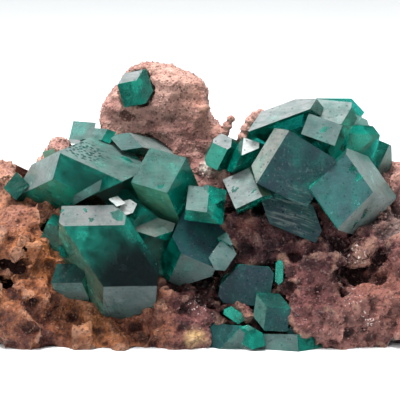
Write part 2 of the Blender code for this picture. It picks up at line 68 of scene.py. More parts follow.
# The stage: the floor's width, the room's tint, and the white that the camera sees.
FLOOR_SIZE = 4.0
FLOOR_TONES = ((0.86, 0.86, 0.87, 1.0), (0.90, 0.90, 0.90, 1.0))
ROOM_TINT = (0.96, 0.99, 1, 1)
BACKDROP_TINT = (1, 1, 1, 1)
BACKDROP_STRENGTH = 1.05

# Points closer than this are one, and points this near a cutting plane lie on it.
SAME_PLACE = 0.002 * MM
ON_PLANE = 0.001 * MM

# The rock's skin: its fineness, its cut foot, and the planes that split it in four.
ROCK_VOXEL = 0.24 * MM
KNOB_VOXEL = 0.16 * MM
BASE_Z = 0.0
SPLIT_Y = 5.0 * MM
SPLIT_X = 3.0 * MM

# The attribute that holds how deep in a hollow each point of the rock's skin is.
HOLLOW = "hollow"

# Points with less weight than this are left out of a vertex group.
LEAST_WEIGHT = 0.01

# In millimetres, how far parts of the rock's skin are moved, and how thick the peak's beds are.
SMOOTHING_LOSS = 0.12
SADDLE_GAP_DEPTH = 1.7
PEAK_LOSS = 0.35
BED_HEIGHT = 0.24
BED_THICKNESS = 1.9

# A grain of quartz at full size, and how it is scattered: its tilt and turn are in radians.
GRAIN_RADIUS = 0.5 * MM
GRAIN_HEIGHT = 0.7 * MM
GRAIN_TIP = 0.35 * MM
GRAIN_SEED = 7
GRAIN_TILT = 0.9
GRAIN_TURN = 6.28

CRYSTAL_NODES = (
    "left_group",
    "right_group",
    "foot_group",
    "back_group",
    "summit_crystal",
    "cleft_crystal",
    "sliver_crystal",
    "back_crystal",
    "left_side_crystal",
    "right_side_crystal",
)

# The crystals' softened edges: how wide, and the angles between flat faces and across an edge.
EDGE_WIDTH = 0.06 * MM
FLAT_ANGLE = math.radians(1.5)
EDGE_ANGLE = math.radians(15)

# A face is part of a facet if it faces this nearly its way and lies this near its plane.
SAME_FACING = 0.985
SAME_PLANE = 0.4

# How strongly light bends in the crystals, in quartz, in a dusty cover and in an open pit.
DIOPTASE_IOR = 1.67
QUARTZ_IOR = 1.54
COVER_IOR = 1.55
PIT_IOR = 1.1

# The green that light takes on inside a crystal, and how fast it does.
GREEN_LIGHT = (0.03, 0.90, 0.86, 1.0)
DEPTH_OF_GREEN = 950

# The part of the long crystal's top that is full of pits, and the tall prism's foot, where painted shade
# darkens the green.
PITTED_PLACE = (-17.2, -7.6, 27.5)
PITTED_REACH = 3.8
FOOT_SHADE_PLACE = (-9.5, -17.5, 10.5)
FOOT_SHADE_REACH = 6.2


def rgb(red, green, blue):
    """A colour from screen values of 0 to 255, by the sRGB curve."""
    linear = [((part / 255 + 0.055) / 1.055) ** 2.4 if part > 10 else part / 255 / 12.92
              for part in (red, green, blue)]
    return (*linear, 1.0)


# The crystals' colours: plain, bright and along flaws, and a near-black green painted as shade at the
# tall prism's foot.
CLEAR = (0.92, 1.0, 0.97, 1.0)
GREEN = rgb(0, 98, 86)
BRIGHT_GREEN = rgb(0, 160, 138)
FLAW_GREEN = rgb(40, 165, 142)
SHADE_BLACK_GREEN = rgb(6, 26, 30)

# What lies on a facet: its dust, frost or stain, and painted light. The pale and grey finishes are partly
# painted reflection: of the bright light above on upward facets, and of the pale ground on downward ones.
COVER = "cover"
WHITE = rgb(190, 192, 190)
PALE = rgb(138, 140, 140)
DUST_AND_SHEEN = rgb(100, 114, 112)
FROST_AND_SHEEN = rgb(88, 102, 102)
SLATE = rgb(32, 48, 60)
OLIVE = rgb(96, 104, 84)
MINT = rgb(84, 176, 156)
# A dark green; on the feet's tops it is painted shade, for facets under other crystals that they mirror.
DARK_AND_SHADE = rgb(8, 34, 34)
# A bright green that paints light glowing through the long crystal's underside.
GLOWING_GREEN = rgb(0, 112, 88)
LIME = rgb(96, 150, 118)
STEEL = rgb(70, 96, 104)
GREY = rgb(112, 114, 113)
ROSY = rgb(146, 142, 138)

# The marks in a cover: its blotches, streaks, specks, chips, fine lines and open pits.
BLOTCH = rgb(24, 70, 66)
STREAK = rgb(20, 58, 56)
SPECK = rgb(225, 228, 224)
CHIP = rgb(214, 220, 216)
PALE_LINE = rgb(146, 152, 142)
DARK_LINE = rgb(12, 34, 36)
PIT = rgb(8, 54, 52)

# The rock: the dark and light tone of each of its three colours.
PINK = (rgb(158, 112, 104), rgb(200, 158, 145))
BROWN = (rgb(70, 36, 28), rgb(170, 108, 72))
PURPLE = (rgb(50, 27, 32), rgb(126, 80, 77))

# The marks in the rock, and on its grains: painted shade in beds, crevices and hollows, painted light on
# rims, painted glints, and its own specks, pinpricks and grain tones.
BED_SHADE = rgb(90, 50, 46)
CREVICE_SHADE = rgb(48, 20, 20)
HOLLOW_SHADE = rgb(30, 12, 14)
RIM_LIGHT = rgb(226, 182, 152)
LIGHT_GRAIN = rgb(226, 196, 180)
DARK_GRAIN = rgb(52, 26, 26)
PINPRICK = rgb(60, 30, 30)
GLINT = rgb(240, 226, 220)
GRAIN_SHADE = rgb(70, 36, 34)
SUGAR = rgb(236, 226, 218)


class Facet(NamedTuple):
    """A flat face's finish, partly dust and frost and partly painted reflection and shade: a point on it,
    how far it reaches, and where it faces.

    The facing is a lean from +Z towards a heading, in degrees, as in the crystals' own tables.
    """

    at: tuple
    reach: float
    lean: float
    heading: float
    finish: tuple
    share: float


LEFT_FACETS = dict(
    long_top=Facet((-14.1, -7.6, 26.5), 9, 22, -30, DUST_AND_SHEEN, 0.66),
    long_end=Facet((-23.7, -6.7, 23.8), 9, 78, -153, PALE, 0.75),
    splinter=Facet((-16.1, -14.5, 22.4), 4, 122, -97, FROST_AND_SHEEN, 0.75),
    ridge_grain=Facet((-22.3, -2.7, 26.2), 2, 43, -109, OLIVE, 0.60),
    skyline_block=Facet((-17.7, 3.6, 28.7), 5, 40, -141, FROST_AND_SHEEN, 0.50),
    skyline_chip=Facet((-15.6, -0.3, 28.9), 3, 51, -132, DUST_AND_SHEEN, 0.75),
    ridge_top=Facet((-6.9, -0.6, 27.4), 5, 29, -17, PALE, 0.75),
    ridge_front=Facet((-11.0, -2.9, 28.1), 4, 36, -113, FROST_AND_SHEEN, 0.65),
    broad_top=Facet((-6.0, -11.3, 25.2), 5, 54, -104, DUST_AND_SHEEN, 0.52),
    left_tip=Facet((-27.0, -5.2, 21.8), 2.5, 80, -92, DARK_AND_SHADE, 0.50),
    long_low=Facet((-21.8, -6.9, 20.4), 8, 133, -128, GLOWING_GREEN, 0.55),
    broad_low=Facet((-6.1, -8.9, 19.3), 7, 137, -125, LIME, 0.55),
    cube_top=Facet((-0.3, -11.6, 21.0), 3.5, 39, -91, DUST_AND_SHEEN, 0.75),
    cube_step=Facet((0.3, -10.1, 21.8), 2, 66, -127, DUST_AND_SHEEN, 0.70),
    cap=Facet((-15.4, -16.1, 19.3), 6, 41, -93, GREY, 0.95),
    cap_flake=Facet((-10.3, -13.3, 20.1), 2, 44, -61, WHITE, 0.92),
    cap_grain=Facet((-11.8, -14.2, 21.1), 2, 31, -70, WHITE, 0.92),
    leaning_cap=Facet((-7.1, -10.3, 17.0), 4, 37, -77, ROSY, 0.55),
    leaning_top=Facet((-6.8, -7.2, 16.8), 4, 43, -98, FROST_AND_SHEEN, 0.40),
    tall_left=Facet((-17.3, -13.3, 10.4), 10, 117, -146, OLIVE, 0.50),
    tall_low=Facet((-10.2, -14.1, 6.0), 7, 136, -90, FROST_AND_SHEEN, 0.95),
    foot_top=Facet((-18.8, -14.3, 10.6), 4, 47, -107, DARK_AND_SHADE, 0.90),
    foot_low=Facet((-18.6, -12.5, 7.2), 5, 142, -100, FROST_AND_SHEEN, 0.85),
    wing=Facet((-21.5, -10.0, 14.8), 3, 111, -99, FROST_AND_SHEEN, 0.30),
    lower_low=Facet((-1.2, -12.0, 10.1), 5, 124, -104, FROST_AND_SHEEN, 1.0),
    lower_top=Facet((0.1, -10.7, 15.2), 6, 48, -62, SLATE, 0.95),
    lower_block=Facet((3.3, -14.1, 13.2), 4, 40, -49, FROST_AND_SHEEN, 0.85),
    lower_grain=Facet((3.7, -11.0, 15.1), 2, 29, -72, FROST_AND_SHEEN, 0.70),
)

RIGHT_FACETS = dict(
    crest_top=Facet((11.8, -3.6, 32.4), 8, 20, -125, PALE, 0.85),
    crest_slab=Facet((19.9, 0.4, 31.9), 5, 39, -96, PALE, 0.80),
    crest_step=Facet((17.8, -6.2, 30.3), 4, 40, -83, FROST_AND_SHEEN, 0.80),
    crest_blade=Facet((21.0, -2.6, 29.2), 5, 89, -92, OLIVE, 0.30),
    crest_grain=Facet((23.7, 0.1, 30.6), 4, 41, -111, DUST_AND_SHEEN, 0.55),
    step_side=Facet((28.0, 1.4, 24.1), 4, 105, -31, DUST_AND_SHEEN, 0.80),
    dark_left=Facet((9.9, -11.5, 27.6), 5, 65, -134, ROSY, 0.80),
    dark_front=Facet((14.0, -12.4, 25.3), 7, 87, -90, SLATE, 0.88),
    striated=Facet((13.2, -10.2, 18.5), 6, 72, -96, SLATE, 0.95),
    corner_low=Facet((23.3, -10.3, 18.1), 9, 113, -39, PALE, 0.72),
    corner_side=Facet((25.0, -6.9, 23.8), 7, 56, -20, DUST_AND_SHEEN, 0.72),
    corner_front=Facet((20.4, -12.4, 22.3), 6, 75, -69, STEEL, 0.70),
    block_top=Facet((6.1, -9.2, 22.2), 5, 39, -131, PALE, 0.80),
    block_edge=Facet((8.7, -8.5, 23.1), 5, 29, -40, OLIVE, 0.60),
    blade_top=Facet((7.4, -6.9, 28.0), 3, 43, -68, WHITE, 0.95),
    saddle_top=Facet((3.4, -2.1, 28.0), 2.5, 33, -94, PALE, 0.90),
    saddle_front=Facet((2.0, -2.9, 25.7), 3, 77, -119, MINT, 0.50),
)

FOOT_FACETS = dict(
    dark_block=Facet((6.5, -13.2, 8.7), 6, 83, -87, SLATE, 1.0),
    cube_left=Facet((8.6, -15.4, 5.2), 3, 78, -136, DUST_AND_SHEEN, 0.60),
    cube_top=Facet((10.6, -15.0, 6.8), 3, 35, -82, DARK_AND_SHADE, 0.70),
    cube_front=Facet((10.7, -16.4, 4.0), 3.5, 82, -87, SLATE, 0.75),
    block_front=Facet((2.8, -16.0, 1.9), 4, 76, -126, SLATE, 0.80),
    block_low=Facet((5.5, -17.0, 1.2), 3.5, 107, -89, FROST_AND_SHEEN, 0.85),
    slab_front=Facet((10.8, -17.1, 1.1), 4, 79, -105, FROST_AND_SHEEN, 0.85),
)

SMALL_FACETS = dict(
    summit_top=Facet((-10.3, -0.7, 37.4), 3, 44, -106, PALE, 0.95),
    summit_side=Facet((-8.2, -0.6, 36.0), 3, 78, -47, DUST_AND_SHEEN, 0.15),
    cleft_front=Facet((11.4, -13.1, 10.5), 2, 68, -92, MINT, 0.25),
    sliver_front=Facet((5.0, -15.9, 4.9), 3, 62, -39, MINT, 0.20),
)

# Each group's facets. The other crystals share SMALL_FACETS, since a facet is found by its place.
FACETS = dict(left_group=LEFT_FACETS, right_group=RIGHT_FACETS, foot_group=FOOT_FACETS)

# Broken spots in the covers, where the green shows: each one's place and reach.
NOTCHES = dict(
    long_top=((-10.6, -5.5, 25.7), 0.8),
    long_top_far=((-9.4, -3.5, 25.8), 0.6),
    cap_right=((-11.6, -16.1, 19.5), 1.1),
    cap_crack_high=((-16.4, -15.3, 19.9), 0.28),
    cap_crack_low=((-15.5, -16.6, 18.8), 0.32),
    cap_left=((-20.0, -15.3, 19.9), 0.6),
    broad_pit=((-5.7, -12.9, 23.0), 0.45),
    block_pit=((5.1, -8.8, 21.8), 0.55),
    block_edge=((7.9, -10.8, 22.2), 0.4),
    corner_spot=((22.2, -10.8, 25.5), 0.6),
    corner_hole=((23.1, -10.8, 24.2), 0.7),
    corner_notch=((23.9, -10.0, 18.6), 0.7),
    corner_notch_low=((22.7, -10.9, 17.0), 0.6),
    step_pits=((18.2, -6.3, 30.3), 0.6),
)

# White chips on the crystals' edges: each one's place and reach.
CHIPS = dict(
    prism_ridge_left=((13.4, -9.5, 29.3), 0.35),
    prism_ridge_middle=((14.7, -8.8, 28.6), 0.35),
    prism_ridge_right=((15.9, -8.2, 28.0), 0.30),
    corner_peak=((21.8, -8.6, 29.2), 0.55),
    corner_brow=((23.6, -8.4, 26.4), 0.45),
    lower_edge=((1.5, -14.4, 13.9), 0.30),
)

# Fine lines along some crystals: each one's middle, reach and turn about the Y axis.
STRIATIONS = dict(
    tall_prism_high=((-18.2, -14.5, 15.5), 3.2, -73),
    tall_prism_low=((-14.0, -13.5, 6.3), 3.0, -73),
    striated_foot=((13.2, -10.2, 18.5), 5.0, -17),
    left_tip=((-27.5, -5.2, 21.8), 2.2, 25),
)

# The knobs on the saddle's skyline, each one's middle and radius, and the gap between its chains.
SADDLE_KNOBS = (
    (3.3, 1.2, 27.6, 0.95),
    (3.7, 1.2, 28.8, 0.75),
    (4.1, 1.2, 29.9, 0.72),
    (4.6, 1.2, 30.9, 0.62),
    (6.5, 1.2, 28.2, 0.85),
    (6.9, 1.2, 29.4, 0.80),
    (7.5, 1.2, 30.5, 0.80),
    (8.2, 1.3, 31.3, 0.78),
    (9.1, 1.4, 31.7, 0.70),
)
SADDLE_GAP_X = 5.4

# Bowls pressed into the rock and lumps raised on it: each one's middle, reach and height.
DENTS = dict(
    right_bowl=((23.0, -12.0, 12.5), 5.0, -1.7),
    round_lump=((23.6, -12.5, 13.0), 2.6, 1.7),
    left_bowl=((-27.0, -11.0, 11.5), 2.4, -1.2),
    left_low_bowl=((-28.5, -13.0, 7.0), 3.0, -1.2),
    middle_bowl=((1.0, -12.0, 7.5), 3.5, -1.2),
)


class TonePatch(NamedTuple):
    """A patch of other colour in the rock, a stain in some places and painted light and shade in others:
    its middle, its reach, its colour and its strength.
    """

    at: tuple
    reach: float
    colour: tuple
    share: float = 0.8


# Stains and painted light: the shade entries, cavity, peak_waist and peak_foot paint shade, the glows
# paint lit spots, saddle_white a glint.
ROCK_STAINS_AND_LIGHT = dict(
    peak_crown=TonePatch((-3.0, 1.0, 35.0), 5.0, rgb(208, 168, 153)),
    peak_edge=TonePatch((1.0, 0.5, 33.0), 4.5, rgb(168, 120, 104), 0.9),
    peak_waist=TonePatch((-6.0, -1.0, 30.0), 4.5, rgb(136, 98, 92), 0.8),
    peak_foot=TonePatch((-2.0, -3.0, 27.0), 5.0, rgb(118, 74, 72), 0.8),
    left_lump=TonePatch((-32.0, 1.0, 20.0), 4.5, rgb(212, 156, 130), 0.9),
    left_brow=TonePatch((-32.0, -3.0, 17.0), 4.0, rgb(190, 130, 98), 0.8),
    left_shelf=TonePatch((-26.5, -8.0, 17.5), 4.0, rgb(158, 108, 90), 0.8),
    left_gold=TonePatch((-24.0, -10.0, 12.5), 4.0, rgb(172, 104, 54), 0.6),
    golden_band=TonePatch((-17.5, -15.0, 5.0), 5.0, rgb(160, 100, 56), 0.6),
    left_low=TonePatch((-24.0, -14.0, 1.0), 6.0, rgb(86, 48, 44), 0.8),
    left_shade=TonePatch((-28.0, -12.0, 9.0), 3.5, rgb(54, 24, 20), 0.7),
    under_prism=TonePatch((-9.5, -13.0, 3.0), 3.0, rgb(128, 74, 52), 0.7),
    middle_shade=TonePatch((0.0, -10.0, 8.0), 5.0, rgb(20, 9, 14), 0.97),
    middle_low=TonePatch((-5.0, -13.0, 4.0), 3.0, rgb(92, 54, 50), 0.8),
    cream_spot=TonePatch((-0.6, -17.0, 1.8), 1.5, rgb(196, 164, 112), 0.9),
    centre_shade=TonePatch((9.5, -8.0, 15.5), 6.0, rgb(46, 28, 38), 0.95),
    centre_glow=TonePatch((6.5, -10.0, 17.0), 2.0, rgb(124, 74, 62), 0.6),
    cavity=TonePatch((20.0, -10.5, 12.0), 5.5, rgb(48, 24, 32), 0.95),
    round_lump=TonePatch((23.8, -12.0, 13.0), 2.0, rgb(104, 64, 66), 0.9),
    right_brow=TonePatch((29.0, -7.0, 16.5), 4.0, rgb(138, 118, 112), 0.8),
    right_glow=TonePatch((25.5, -13.0, 7.0), 5.0, rgb(142, 92, 80), 0.9),
    right_low=TonePatch((21.5, -15.0, 1.5), 5.0, rgb(150, 104, 96), 0.9),
    right_pink=TonePatch((17.5, -13.0, 8.0), 3.0, rgb(112, 70, 70), 0.8),
    saddle_white=TonePatch((1.2, -1.6, 24.0), 1.2, rgb(236, 224, 212), 1.0),
)

# Clusters of white sparkles in the rock: each one's place and reach.
GLINTS = dict(
    round_lump=((22.5, -13.0, 13.0), 1.5),
    right_hollow=((21.6, -12.8, 8.8), 1.7),
    right_ledge=((21.7, -16.5, 7.4), 1.2),
    right_foot=((24.3, -16.6, 4.2), 1.5),
    middle=((-0.3, -13.9, 5.8), 1.3),
)


class Field(NamedTuple):
    """Grains on the rock: where, how many to a square millimetre, and how small and large."""

    group: str
    density: float
    smallest: float
    largest: float


GRAIN_FIELDS = dict(
    peak_grains=Field("upper", 4.4, 0.12, 0.30),
    left_grains=Field("left", 0.8, 0.12, 0.36),
    right_grains=Field("right", 1.2, 0.14, 0.40),
)


class Lamp(NamedTuple):
    """A square lamp: its place in metres, its width and its power."""

    at: tuple
    size: float
    power: float


LAMPS = dict(
    overhead=Lamp((-0.06, -0.06, 0.5), 0.22, 4.4),
    front_fill=Lamp((-0.30, -0.50, 0.35), 0.4, 1.3),
)


# ---------------------------------------------------------------- shading


class Value:
    """A socket in a material's nodes. Python's operators on it add Math nodes."""

    def __init__(self, shading, socket):
        self.shading = shading
        self.socket = socket

    def _math(self, operation, first, second):
        return self.shading.add("ShaderNodeMath", {"operation": operation}, {0: first, 1: second})

    def __add__(self, other):
        return self._math("ADD", self, other)

    def __radd__(self, other):
        return self._math("ADD", other, self)

    def __sub__(self, other):
        return self._math("SUBTRACT", self, other)

    def __rsub__(self, other):
        return self._math("SUBTRACT", other, self)

    def __mul__(self, other):
        return self._math("MULTIPLY", self, other)

    def __rmul__(self, other):
        return self._math("MULTIPLY", other, self)

    def clamped(self):
        """No less than 0 and no more than 1."""
        return self.shading.add("ShaderNodeClamp", {}, {0: self})

    def between(self, start, end):
        """0 at start and 1 at end, smooth between them."""
        spread = {"Value": self, "From Min": start, "From Max": end, "To Min": 0.0, "To Max": 1.0}
        return self.shading.add("ShaderNodeMapRange", {"interpolation_type": "SMOOTHSTEP"}, spread)

    def sibling(self, name):
        """Another output of the node that this one comes from."""
        return Value(self.shading, self.socket.node.outputs[name])


class Shading:
    """The nodes of one material, of the world or of a modifier, being made."""

    def __init__(self, name):
        self.material = bpy.data.materials.new(name)
        self.material.use_nodes = True
        self._take(self.material.node_tree, "ShaderNodeOutputMaterial")

    @classmethod
    def of_tree(cls, tree, end):
        """The same for any other tree, and the kind of node that it ends in."""
        made = cls.__new__(cls)
        made._take(tree, end)
        return made

    def _take(self, tree, end):
        self.nodes = tree.nodes
        self.links = tree.links
        self.nodes.clear()
        self.end = self.nodes.new(end)

    def add(self, kind, settings, sockets, output=0):
        """Adds any node: its settings first, then its sockets' values or links."""
        node = self.nodes.new(kind)
        for name, value in settings.items():
            setattr(node, name, value)
        for name, value in sockets.items():
            if isinstance(value, Value):
                self.links.new(value.socket, node.inputs[name])
            else:
                node.inputs[name].default_value = value
        return Value(self, node.outputs[output])

    def place(self):
        """Object coordinates, in millimetres."""
        point = self.add("ShaderNodeTexCoord", {}, {}, "Object")
        return self.add("ShaderNodeVectorMath", {"operation": "SCALE"}, {0: point, "Scale": 1 / MM})

    def stretched(self, point, scale, turn=(0, 0, 0)):
        """The point turned, in degrees, and scaled along each axis."""
        turn = [math.radians(angle) for angle in turn]
        return self.add("ShaderNodeMapping", {}, {"Vector": point, "Rotation": turn, "Scale": scale})

    def noise(self, point, size, detail=3.0, roughness=0.55):
        """Soft noise about 0.5, and the size of its patches in millimetres."""
        sockets = {"Vector": point, "Scale": 1 / size, "Detail": detail, "Roughness": roughness}
        return self.add("ShaderNodeTexNoise", {}, sockets)

    def cells(self, point, size):
        """How far a point is from the middle of its cell, in cells."""
        return self.add("ShaderNodeTexVoronoi", {}, {"Vector": point, "Scale": 1 / size})

    def axis(self, vector, name):
        """The X, Y or Z of a vector."""
        return self.add("ShaderNodeSeparateXYZ", {}, {0: vector}, name)

    def mix(self, factor, first, second):
        """A colour that goes from first to second."""
        return self.add(
            "ShaderNodeMix", {"data_type": "RGBA"}, {0: factor, 6: first, 7: second}, output=2
        )

    def bump(self, height, distance, strength=1.0, under=None):
        """A roughened normal, on top of another one if there is one."""
        sockets = {"Height": height, "Distance": distance * MM, "Strength": strength}
        if under:
            sockets["Normal"] = under
        return self.add("ShaderNodeBump", {}, sockets)

    def near(self, point, middle, radius, softness=0.4):
        """1 within radius of a place, falling to 0 a little outside it."""
        away = self.add("ShaderNodeVectorMath", {"operation": "DISTANCE"}, {0: point, 1: middle}, "Value")
        return 1 - away.between(radius * (1 - softness), radius * (1 + softness))

    def warped(self, point, size, amount):
        """The point pushed about by noise, so that shapes drawn round places come out ragged."""
        sockets = {"Vector": point, "Scale": 1 / size, "Detail": 3.0}
        wander = self.add("ShaderNodeTexNoise", {}, sockets, "Color")
        middle = (0.5, 0.5, 0.5)
        centred = self.add("ShaderNodeVectorMath", {"operation": "SUBTRACT"}, {0: wander, 1: middle})
        pushed = self.add("ShaderNodeVectorMath", {"operation": "SCALE"}, {0: centred, "Scale": amount})
        return self.add("ShaderNodeVectorMath", {"operation": "ADD"}, {0: point, 1: pushed})

    def stripes(self, point, spacing, turn):
        """Fine lines that cross the Z axis, after a turn about the Y axis."""
        turned = self.stretched(point, (1, 1, 1), (0, turn, 0))
        return self.noise(self.stretched(turned, (0.10, 0.10, 1.0)), spacing, detail=2.0)

    def skin(self, colour, roughness, ior=1.5, normal=None, transmission=0.0):
        """A Principled BSDF."""
        sockets = {
            "Base Color": colour,
            "Roughness": roughness,
            "IOR": ior,
            "Transmission Weight": transmission,
        }
        if normal:
            sockets["Normal"] = normal
        return self.add("ShaderNodeBsdfPrincipled", {}, sockets)

    def blend(self, share, under, over):
        """Lays a share of one shader over another."""
        return self.add("ShaderNodeMixShader", {}, {0: share, 1: under, 2: over})

    def give(self, name, value):
        """Links a value to an input of the last node."""
        self.links.new(value.socket, self.end.inputs[name])


# ---------------------------------------------------------------- crystal materials


def dioptase(name):
    """Clear teal-green crystal, deep where it is thick, with dust, frost, painted reflection and shade,
    and pits on its facets.
    """
    look = Shading(name)
    point = look.place()
    share = cover_share(look, point)
    covered = look.blend(share, crystal_body(look, point), cover(look, point))
    pit = look.skin(PIT, 0.8, ior=PIT_IOR)
    look.give("Surface", look.blend(pitting(look, point, share), covered, pit))
    depth = {"Color": GREEN_LIGHT, "Density": DEPTH_OF_GREEN}
    look.give("Volume", look.add("ShaderNodeVolumeAbsorption", {}, depth))
    return look.material


def crystal_body(look, point):
    """Glass, mixed with the green that its flaws and veils throw back."""
    ripple = look.noise(point, 2.5, detail=2.0)
    grain = look.noise(point, 0.22, detail=2.0)
    veil = look.noise(point, 3.0, detail=4.0, roughness=0.6).between(0.35, 0.75)
    flaws = look.noise(look.stretched(point, (1.0, 1.0, 3.5), (25, 40, 0)), 1.6, detail=3.0)
    normal = look.bump(ripple, 0.12, 0.35)
    normal = look.bump(grain, 0.02, 0.25, normal)
    deep = look.mix(veil, GREEN, BRIGHT_GREEN)
    deep = look.mix(flaws.between(0.60, 0.68) * 0.5, deep, FLAW_GREEN)
    # Painted shade: the green goes near-black towards the tall prism's foot.
    lit = 1 - look.near(point, FOOT_SHADE_PLACE, FOOT_SHADE_REACH, 0.5)
    deep = look.mix(lit, SHADE_BLACK_GREEN, deep)
    glass = look.skin(CLEAR, 0.16 + 0.15 * veil, ior=DIOPTASE_IOR, normal=normal, transmission=1.0)
    inner = look.skin(deep, 0.12 + 0.1 * veil, ior=DIOPTASE_IOR, normal=normal)
    return look.blend(0.42 + 0.25 * veil, glass, inner)


def cover_share(look, point):
    """How much of a facet its cover hides: less in broken spots, and all of it on white chips."""
    share = look.add("ShaderNodeAttribute", {"attribute_name": COVER}, {}, "Alpha")
    up = look.axis(look.add("ShaderNodeTexCoord", {}, {}, "Normal"), "Z")
    # Paler on upward faces: partly fallen dust, partly a painted reflection of the bright light above.
    dust_and_sky_sheen = up.between(0.30, 0.90) * 0.10
    broad = look.noise(point, 5.5, detail=2.0).between(0.30, 0.65)
    uneven = look.noise(point, 1.3, detail=5.0, roughness=0.7).between(0.30, 0.62)
    laid = (share + dust_and_sky_sheen) * (0.60 + 0.22 * broad + 0.22 * uneven) * unbroken(look, point)
    return (laid + chipped(look, point)).clamped()


def unbroken(look, point):
    """1 where a cover is whole, and near 0 in the notches."""
    whole = 1
    ragged = look.warped(point, 0.8, 2.2)
    for place, reach in NOTCHES.values():
        whole = whole * (1 - 0.9 * look.near(ragged, place, reach, 0.15))
    return whole


def chipped(look, point):
    """1 on the white chips."""
    share = 0
    ragged = look.warped(point, 0.5, 1.6)
    for place, reach in CHIPS.values():
        share = share + look.near(ragged, place, reach, 0.2)
    return share


def pitting(look, point, share):
    """Where tiny pits are open: thick in one patch, and sparse wherever a cover lies."""
    patch = look.near(look.warped(point, 1.5, 2.5), PITTED_PLACE, PITTED_REACH, 0.2)
    thick = look.cells(point, 0.60).between(0.50, 0.34)
    sparse = look.cells(point, 0.9).between(0.24, 0.12)
    return (patch * thick * 0.85 + share * sparse * 0.7).clamped()


def cover(look, point):
    """The cover itself, dust and frost with painted reflection and shade: finely grained, blotched and
    streaked, with fine lines in places.
    """
    colour = look.add("ShaderNodeAttribute", {"attribute_name": COVER}, {}, "Color")
    streaks = look.noise(look.stretched(point, (0.25, 1.0, 2.0), (0, 25, 0)), 0.7, detail=3.0)
    blotch = look.noise(point, 2.2, detail=4.0, roughness=0.65)
    speck = look.noise(point, 0.35, detail=3.0, roughness=0.7)
    colour = look.mix(blotch.between(0.55, 0.35) * 0.35, colour, BLOTCH)
    colour = look.mix(streaks.between(0.58, 0.35) * 0.22, colour, STREAK)
    colour = look.mix(speck.between(0.55, 0.75) * 0.14, colour, SPECK)
    colour = striated(look, point, colour)
    colour = look.mix(chipped(look, point), colour, CHIP)
    normal = look.bump(blotch, 0.10, 0.4)
    normal = look.bump(speck, 0.04, 0.5, normal)
    return look.skin(colour, 0.22 + 0.3 * speck, ior=COVER_IOR, normal=normal)


def striated(look, point, colour):
    """Draws fine pale and dark lines over a colour, along the crystals that have them."""
    for place, reach, turn in STRIATIONS.values():
        here = look.near(point, place, reach, 0.15)
        lines = look.stripes(point, 0.28, turn)
        colour = look.mix(here * lines.between(0.50, 0.66) * 0.28, colour, PALE_LINE)
        colour = look.mix(here * lines.between(0.50, 0.36) * 0.45, colour, DARK_LINE)
    return colour


# ---------------------------------------------------------------- rock materials


def rock_colour(look, point):
    """Pale pink above, orange-brown to the left and purple-brown in the middle and right; the pale top is
    partly painted light.
    """
    wander = look.noise(point, 7.0, detail=4.0)
    blotch = look.noise(point, 2.4, detail=5.0, roughness=0.65).between(0.35, 0.65)
    # Partly painted light: the rock turns paler pink towards its lit top.
    high = (look.axis(point, "Z") + wander * 10 - 5).between(18, 27)
    left = 1 - (look.axis(point, "X") + wander * 14 - 7).between(-10, -2)
    pink = look.mix(blotch, *PINK)
    brown = look.mix(blotch, *BROWN)
    purple = look.mix(blotch, *PURPLE)
    return lay_patches(look, point, look.mix(high, look.mix(left, purple, brown), pink))


def lay_patches(look, point, colour):
    """Lays the rock's stains and its painted light and shade over a colour, with ragged edges."""
    ragged = look.noise(point, 2.6, detail=4.0, roughness=0.6).between(0.30, 0.60)
    for tone_patch in ROCK_STAINS_AND_LIGHT.values():
        share = look.near(point, tone_patch.at, tone_patch.reach, 0.6) * (0.35 + 0.65 * ragged)
        colour = look.mix(share * tone_patch.share, colour, tone_patch.colour)
    return colour


def glinting(look, point, colour):
    """Scatters small white sparkles over a colour, in clusters."""
    sparkle = look.noise(point, 0.45, detail=2.0).between(0.58, 0.68)
    ragged = look.warped(point, 1.0, 1.5)
    for place, reach in GLINTS.values():
        colour = look.mix(look.near(ragged, place, reach) * sparkle * 0.75, colour, GLINT)
    return colour


def druse(name):
    """The rock's skin: stained, with painted shade in its beds, crevices and hollows, painted light on
    its rims and painted glints, and full of fine grain.
    """
    look = Shading(name)
    point = look.place()
    hollow = look.add("ShaderNodeAttribute", {"attribute_name": HOLLOW}, {}, "Fac")
    beds = look.stretched(point, (0.5, 0.5, 2.2), (4, 6, 0))
    bedded = look.noise(beds, 1.6, detail=4.0, roughness=0.6)
    crevice_shade = look.noise(point, 1.5, detail=4.0, roughness=0.7).between(0.46, 0.34)
    speck = look.noise(point, 0.40, detail=3.0, roughness=0.75)
    pinpricks = look.cells(point, 0.70).between(0.34, 0.18)
    shaded = 1 - 0.35 * look.axis(point, "Z").between(23, 27)
    colour = rock_colour(look, point)
    colour = look.mix(bedded.between(0.50, 0.36) * 0.30, colour, BED_SHADE)
    # Painted shade in crevices and hollows, weaker on the peak's top, and painted light on the rims.
    colour = look.mix(crevice_shade * shaded * 0.6, colour, CREVICE_SHADE)
    colour = look.mix(hollow.between(-0.05, 0.50) * shaded * 0.90, colour, HOLLOW_SHADE)
    colour = look.mix(hollow.between(-0.20, -0.70) * 0.18, colour, RIM_LIGHT)
    colour = look.mix(speck.between(0.60, 0.75) * 0.35, colour, LIGHT_GRAIN)
    colour = look.mix(speck.between(0.42, 0.28) * 0.55, colour, DARK_GRAIN)
    colour = look.mix(pinpricks * 0.65, colour, PINPRICK)
    colour = glinting(look, point, colour)
    normal = look.bump(bedded, 0.30, 0.6)
    normal = look.bump(look.cells(point, 0.30), 0.10, 0.7, normal)
    rough = 0.24 + 0.5 * look.noise(point, 0.7).between(0.35, 0.7)
    look.give("Surface", look.skin(colour, rough, normal=normal))
    return look.material


